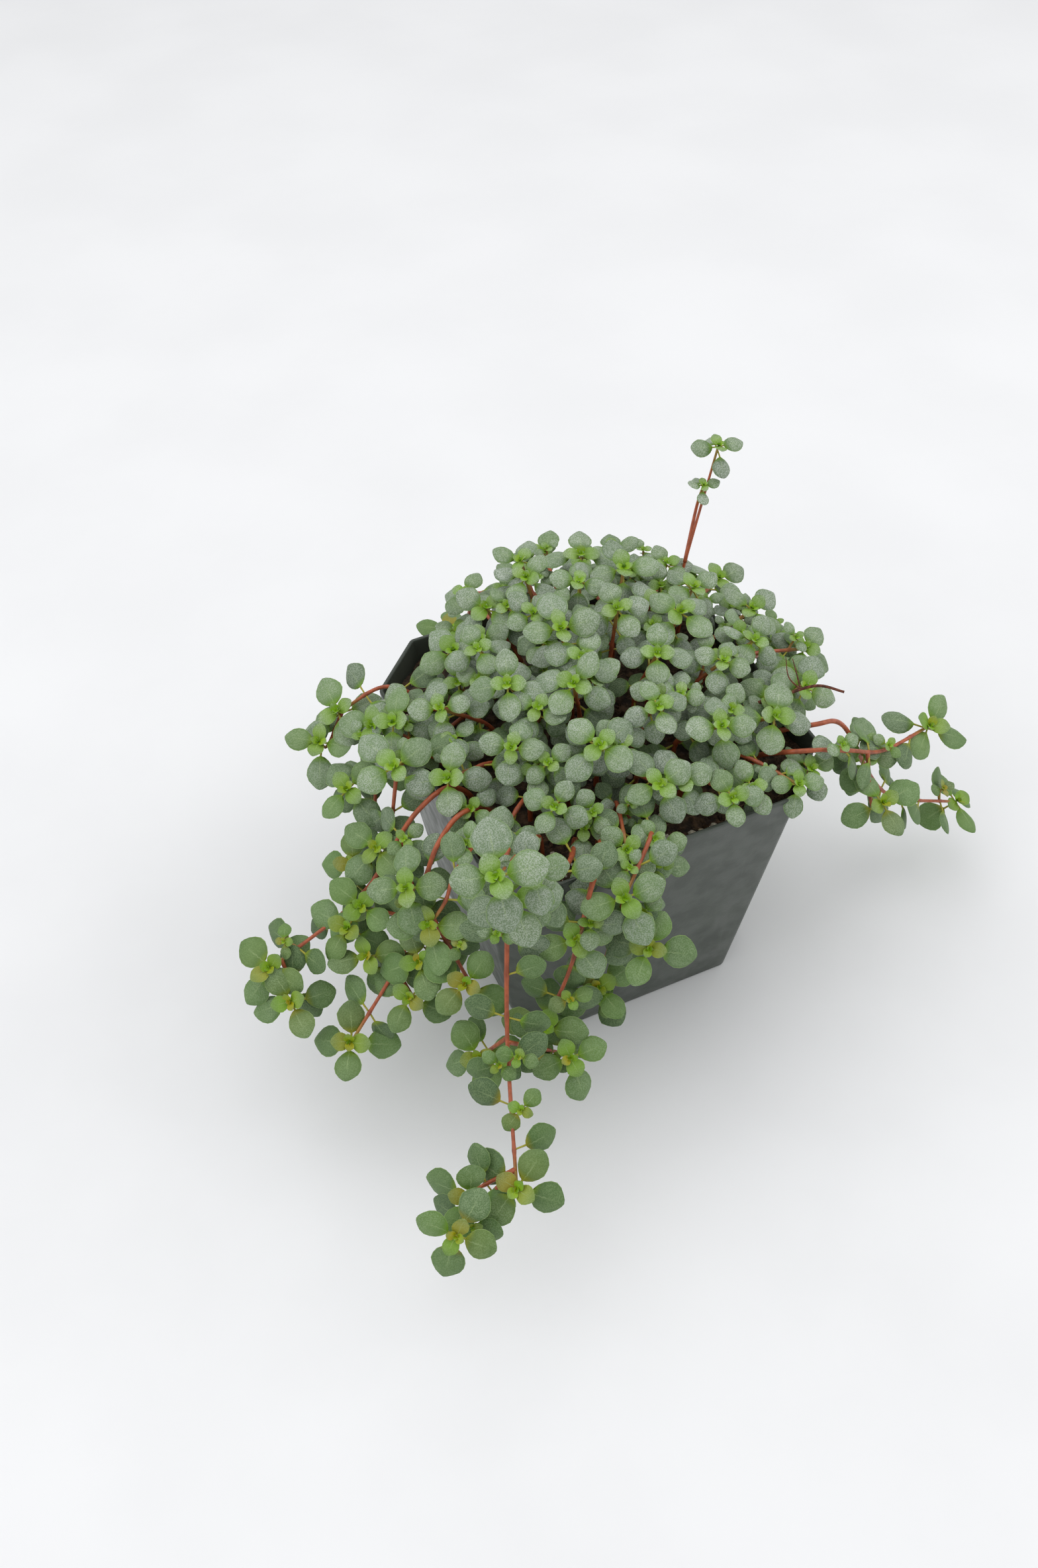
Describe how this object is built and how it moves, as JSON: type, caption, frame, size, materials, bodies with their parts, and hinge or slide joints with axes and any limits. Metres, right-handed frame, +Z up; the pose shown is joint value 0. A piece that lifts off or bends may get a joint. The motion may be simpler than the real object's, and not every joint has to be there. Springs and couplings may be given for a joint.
{
  "type": "potted baby tears plant",
  "caption": "Low crown of small round silver-green leaf rosettes on reddish stems, with shoots trailing over the rim of a tapered square plastic nursery pot.",
  "frame": {"origin": "centre of the pot's flat base, on the surface that the pot stands on", "axes": "+Z up; X and Y square to the pot's four main walls; the longest trailing shoots hang towards -X and -Y"},
  "size_m": [0.2342, 0.1931, 0.1299],
  "materials": {
    "pot_plastic": "satin",
    "potting_soil": "matte",
    "leaf": "satin",
    "stem": "satin"
  },
  "bodies": {
    "root": {"pot": "pot_plastic", "soil": "potting_soil", "crown_shoot_01": "leaf", "crown_shoot_02": "leaf", "crown_shoot_03": "leaf", "crown_shoot_04": "leaf", "crown_shoot_05": "leaf", "crown_shoot_06": "leaf", "crown_shoot_07": "leaf", "crown_shoot_08": "leaf", "crown_shoot_09": "leaf", "crown_shoot_10": "leaf", "crown_shoot_11": "leaf", "crown_shoot_12": "leaf", "crown_shoot_13": "leaf", "crown_shoot_14": "leaf", "crown_shoot_15": "leaf", "crown_shoot_16": "leaf", "crown_shoot_17": "leaf", "crown_shoot_18": "leaf", "crown_shoot_19": "leaf", "crown_shoot_20": "leaf", "crown_shoot_21": "leaf", "crown_shoot_22": "leaf", "crown_shoot_23": "leaf", "crown_shoot_24": "leaf", "crown_shoot_25": "leaf", "crown_shoot_26": "leaf", "crown_shoot_27": "leaf", "crown_shoot_28": "leaf", "crown_shoot_29": "leaf", "crown_shoot_30": "leaf", "crown_shoot_31": "leaf", "crown_shoot_32": "leaf", "crown_shoot_33": "leaf", "crown_shoot_34": "leaf", "crown_shoot_35": "leaf", "crown_shoot_36": "leaf", "crown_shoot_37": "leaf", "crown_shoot_38": "leaf", "crown_shoot_39": "leaf", "crown_shoot_40": "leaf", "crown_shoot_41": "leaf", "crown_shoot_42": "leaf", "trailing_shoot_01": "leaf", "trailing_shoot_02": "leaf", "trailing_shoot_03": "leaf", "trailing_shoot_04": "leaf", "trailing_shoot_05": "leaf", "trailing_shoot_06": "leaf", "trailing_shoot_07": "leaf", "trailing_shoot_08": "leaf", "trailing_shoot_09": "leaf", "trailing_shoot_10": "leaf", "trailing_shoot_11": "leaf", "trailing_shoot_12": "leaf", "trailing_shoot_13": "leaf", "trailing_shoot_14": "leaf", "trailing_shoot_15": "leaf", "withered_stem": "stem"}
  },
  "joints": []
}
